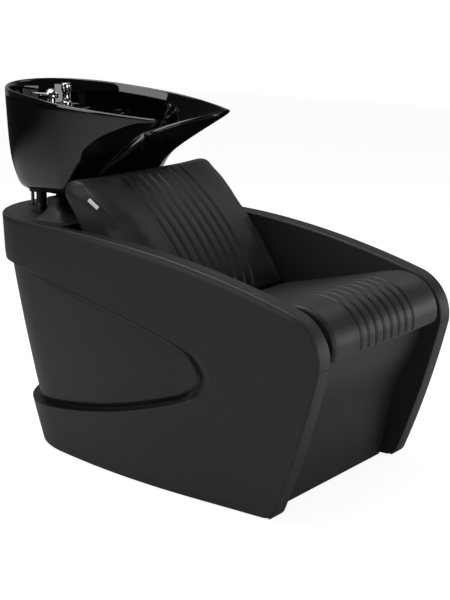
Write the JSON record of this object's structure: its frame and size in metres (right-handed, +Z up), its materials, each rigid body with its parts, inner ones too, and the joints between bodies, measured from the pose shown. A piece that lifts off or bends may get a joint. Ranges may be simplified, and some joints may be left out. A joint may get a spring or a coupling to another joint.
{
  "type": "salon backwash unit",
  "caption": "Salon shampoo chair: moulded body with arms, channel-sewn seat and reclined back, and a gloss basin with mixer and hand shower that tilts on a rear saddle.",
  "frame": {"origin": "on the floor under the middle of the unit's bounding box", "axes": "+Y from the seat's front to the basin's rear, +Z up, +X to the sitter's left as they sit facing -Y"},
  "size_m": [0.64, 1.25, 1.003],
  "materials": {
    "shell_plastic": "fine matt texture, charcoal black",
    "upholstery": "satin grained vinyl, black",
    "glazed_ceramic": "gloss black glaze",
    "chrome": "polished",
    "braided_steel": "braided",
    "brass": "turned",
    "frame_steel": "black powder coat",
    "plated_steel": "zinc plated",
    "plywood": "raw plywood",
    "rubber": "matt",
    "hose_plastic": "black",
    "pipe_plastic": "grey waste pipe",
    "nylon": "natural"
  },
  "bodies": {
    "base": {"outer_shell": "shell_plastic", "front_panel": "shell_plastic", "rear_deck": "shell_plastic", "drain_collar": "rubber", "seat_cushion": "upholstery", "back_cushion": "upholstery", "seat_board": "plywood", "back_board": "plywood", "base_frame": "frame_steel", "floor_pads": "rubber", "seat_frame": "frame_steel", "back_frame": "frame_steel", "basin_post": "frame_steel", "post_bolts": "plated_steel", "tilt_bracket": "plated_steel", "tilt_pin": "plated_steel", "pin_nut": "plated_steel", "friction_washers": "nylon", "drain_hose": "hose_plastic", "drain_pipe": "pipe_plastic", "left_arm_trim": "shell_plastic", "left_leg_trim": "shell_plastic", "left_supply_collar": "rubber", "left_supply_hose": "braided_steel", "left_supply_nut": "brass", "right_arm_trim": "shell_plastic", "right_leg_trim": "shell_plastic", "right_supply_collar": "rubber", "right_supply_hose": "braided_steel", "right_supply_nut": "brass"},
    "tilting_basin": {"basin": "glazed_ceramic", "basin_carrier": "plated_steel", "carrier_bolts": "plated_steel", "overflow_cover": "chrome", "waste_flange": "chrome", "waste_trap": "hose_plastic", "mixer_base": "chrome", "mixer_nut": "brass", "shower_socket": "chrome"},
    "cartridge": {"mixer_cartridge": "chrome"},
    "handle": {"mixer_handle": "chrome"},
    "shower": {"hand_shower": "chrome", "hose_tail": "chrome"},
    "waste_strainer": {"strainer": "chrome"}
  },
  "joints": [
    {"name": "basin_tilt", "type": "hinge", "parent": "base", "child": "tilting_basin", "pos_m": [0, 0.335, 0.697], "axis": [-1, 0, 0], "range_deg": [0, 8], "deforming": ["drain_hose", "left_supply_hose", "right_supply_hose"]},
    {"name": "mixer_swivel", "type": "hinge", "parent": "tilting_basin", "child": "cartridge", "pos_m": [0, 0.525, 0.964], "axis": [0, 0, 1], "range_deg": [-30, 30]},
    {"name": "mixer_lift", "type": "hinge", "parent": "cartridge", "child": "handle", "pos_m": [0, 0.525, 0.964], "axis": [0, 1, 0], "range_deg": [0, 12]},
    {"name": "shower_lift", "type": "slide", "parent": "tilting_basin", "child": "shower", "axis": [0, 0, 1], "range_m": [0, 0.08]},
    {"name": "strainer_lift", "type": "slide", "parent": "tilting_basin", "child": "waste_strainer", "axis": [0, 0, 1], "range_m": [0, 0.04]}
  ]
}
